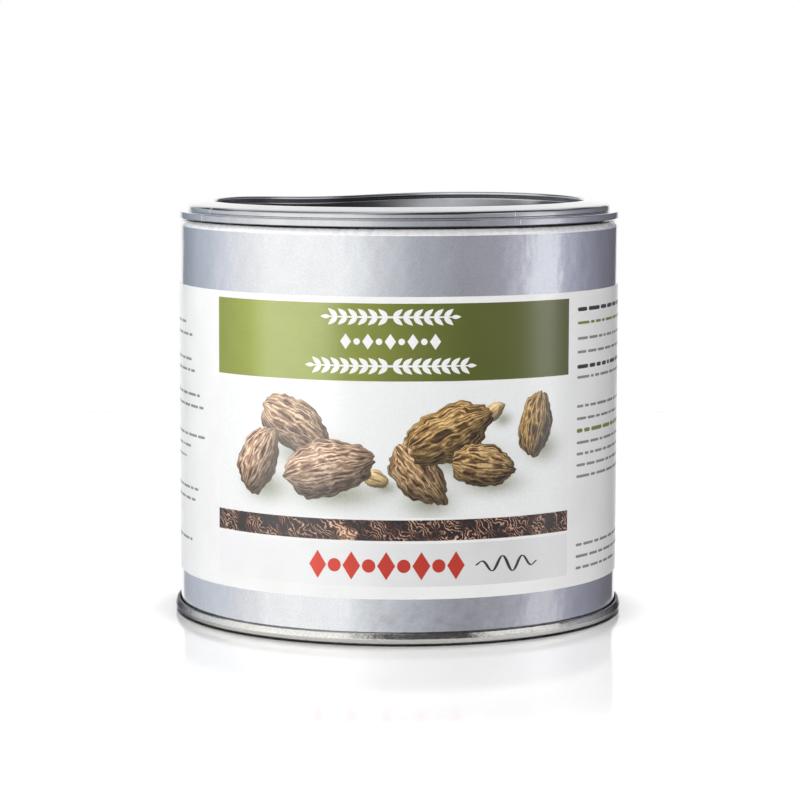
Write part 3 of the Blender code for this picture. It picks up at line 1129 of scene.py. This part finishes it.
HORIZON = [(degrees, light) for degrees, light, _ in STUDIO]
LOW = [(degrees, light) for degrees, _, light in STUDIO]

# The same for the upper part of the lights, and for the ceiling over them.
UPPER = (
    (-180, 0.42), (-158, 0.42), (-148, 0.03), (-114, 0.05), (-104, 0.42), (-70, 0.50), (-30, 0.50),
    (-20, 0.28), (-8, 0.05), (38, 0.03), (50, 0.38), (86, 0.42), (98, 0.07), (148, 0.04),
    (158, 0.42), (180, 0.42),
)
CEILING = (
    (-180, 0.42), (-142, 0.40), (-126, 0.10), (-96, 0.12), (-80, 0.19), (-50, 0.31), (-28, 0.27),
    (0, 0.10), (24, 0.03), (60, 0.015), (126, 0.02), (142, 0.38), (180, 0.42),
)
STUDIO_STRENGTH = 2.5

# What takes over from the studio higher up, and between which heights of the direction looked in,
# where 0 is level and 1 is straight up.
STOREYS = (
    (LOW, 0.0, 0.12),
    (UPPER, 0.20, 0.32),
    (CEILING, 0.50, 0.66),
)

# Softboxes, which the print's varnish also mirrors, plain screens, and a light over the floor:
# azimuth, distance, height, size and power.
SOFTBOXES = (
    ("key_softbox", -53, 1.0, -0.11, (0.80, 0.36), 5.8),
    ("strip_softbox", 79, 1.0, -0.02, (0.26, 0.45), 1.05),
)
SCREENS = (
    ("left_screen", -80, 1.2, 0.45, (0.8, 0.8), 9.6),
    ("front_screen", 4, 1.6, 0.70, (1.2, 1.0), 18.0),
    ("right_screen", 58, 1.2, 0.45, (0.6, 0.8), 4.8),
    ("back_screen", 176, 1.6, 0.70, (1.0, 1.0), 15.0),
)
FLOOR_LIGHT = ("floor_light", 0, 0.0, 4.0, (0.8, 0.8), 200.0)


def make_world():
    """Soft lights and screens round the can, by direction, and plain white past it for the camera."""
    world = bpy.data.worlds.new("studio")
    world.use_nodes = True
    world.node_tree.nodes.clear()
    bpy.context.scene.world = world
    n = Nodes(world.node_tree)
    split = n.node("SeparateXYZ", {0: n.node("TexCoord").outputs["Generated"]})
    azimuth = n.math("ARCTAN2", split.outputs["X"], n.math("MULTIPLY", split.outputs["Y"], -1.0))
    share = n.remap(azimuth, -math.pi, math.pi)

    def around(stops):
        """A ramp by azimuth, from colours or single greys."""
        places = []
        for degrees, light in stops:
            colour = light if isinstance(light, tuple) else (light,) * 3
            places.append(((degrees + 180) / 360, colour))
        return n.ramp(share, places)

    dome = around(HORIZON)
    for stops, start, end in STOREYS:
        above = n.remap(split.outputs["Z"], start, end, interpolation_type="SMOOTHSTEP")
        dome = n.mix(above, dome, around(stops))
    studio = n.node("Background", {"Color": dome, "Strength": STUDIO_STRENGTH}).outputs[0]
    white = n.node("Background", {"Color": (1.0, 1.0, 1.0, 1.0)}).outputs[0]
    seen = n.node("MixShader", {0: n.node("LightPath").outputs["Is Camera Ray"], 1: studio, 2: white})
    n.node("OutputWorld", {"Surface": seen.outputs[0]})
    world.cycles_visibility.diffuse = False


# The photograph's camera: lens and sensor width in millimetres, place in metres, and the angles by
# which it looks down and is rolled, in degrees.
LENS = 137.66
SENSOR_WIDTH = 36.0
CAMERA_PLACE = (0.00042, -0.83992, 0.14777)
LOOK_DOWN = 6.135
ROLL = 0.199


def make_camera():
    """The photograph's view: a long lens a little above the lid, looking down."""
    camera = bpy.data.cameras.new("photo_view")
    camera.sensor_width = SENSOR_WIDTH
    camera.lens = LENS
    camera.clip_start = 0.01
    camera.clip_end = 50.0
    obj = bpy.data.objects.new("photo_view", camera)
    tilt = Matrix.Rotation(math.radians(90 - LOOK_DOWN), 4, "X")
    roll = Matrix.Rotation(math.radians(ROLL), 4, "Z")
    obj.matrix_world = Matrix.Translation(CAMERA_PLACE) @ tilt @ roll
    bpy.context.scene.collection.objects.link(obj)
    bpy.context.scene.camera = obj


make_camera()
bare, printed = make_object()
floor = make_floor()
for name, *setting in SOFTBOXES:
    area_light(name + "_on_print", *setting, printed, gloss=True)
    area_light(name, *setting, bare)
for name, *setting in SCREENS:
    area_light(name, *setting, bare + printed)
area_light(*FLOOR_LIGHT, [floor])
make_world()
bpy.context.scene.view_settings.view_transform = "Standard"
